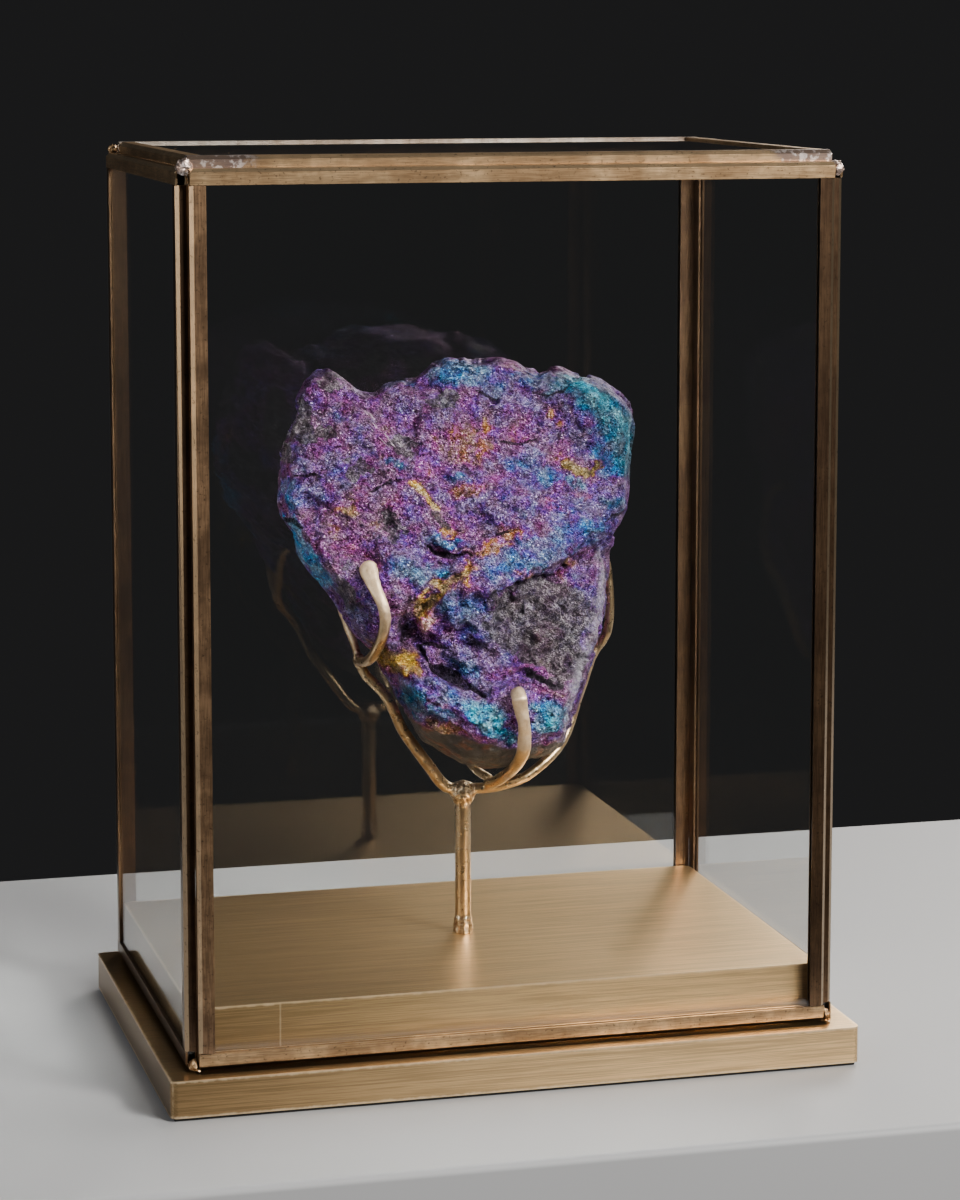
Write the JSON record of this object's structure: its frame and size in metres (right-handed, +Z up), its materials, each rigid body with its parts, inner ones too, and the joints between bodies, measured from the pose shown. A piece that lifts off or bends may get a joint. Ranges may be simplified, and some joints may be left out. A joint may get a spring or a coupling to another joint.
{
  "type": "peacock ore",
  "caption": "Peacock ore specimen held by a bent brass armature in a small glass display case on a stepped brass-clad base.",
  "frame": {"origin": "middle of the base's underside", "axes": "+Z up, +X to the right along the front, -Y out of the front"},
  "size_m": [0.286, 0.192, 0.3749],
  "materials": {
    "ore": "granular iridescent tarnish",
    "base_brass": "brushed antique",
    "came_brass": "satin, coppery",
    "rod_brass": "satin",
    "claw_brass": "hammered matt",
    "solder": "bright solder",
    "glass": "clear",
    "board": "raw board",
    "felt": "felt"
  },
  "bodies": {
    "root": {"back_prong": "claw_brass", "base_felt": "felt", "base_plinth": "base_brass", "base_plinth_core": "board", "base_slab": "base_brass", "base_slab_core": "board", "bead_bottom_back_left": "solder", "bead_bottom_back_right": "solder", "bead_bottom_front_left": "solder", "bead_bottom_front_right": "solder", "bead_top_back_left": "solder", "bead_top_back_right": "solder", "bead_top_front_left": "solder", "bead_top_front_right": "solder", "came_back_bottom": "came_brass", "came_back_left": "came_brass", "came_back_right": "came_brass", "came_back_top": "came_brass", "came_front_bottom": "came_brass", "came_front_left": "came_brass", "came_front_right": "came_brass", "came_front_top": "came_brass", "came_left_bottom": "came_brass", "came_left_left": "came_brass", "came_left_right": "came_brass", "came_left_top": "came_brass", "came_right_bottom": "came_brass", "came_right_left": "came_brass", "came_right_right": "came_brass", "came_right_top": "came_brass", "came_top_bottom": "came_brass", "came_top_left": "came_brass", "came_top_right": "came_brass", "came_top_top": "came_brass", "foot_braze": "rod_brass", "front_claw": "claw_brass", "glass_back": "glass", "glass_front": "glass", "glass_left": "glass", "glass_right": "glass", "glass_top": "glass", "hub_braze": "rod_brass", "left_arm": "rod_brass", "left_front_claw": "claw_brass", "left_joint_braze": "rod_brass", "left_rear_prong": "claw_brass", "peacock_ore": "ore", "right_arm": "rod_brass", "stem": "rod_brass"}
  },
  "joints": []
}
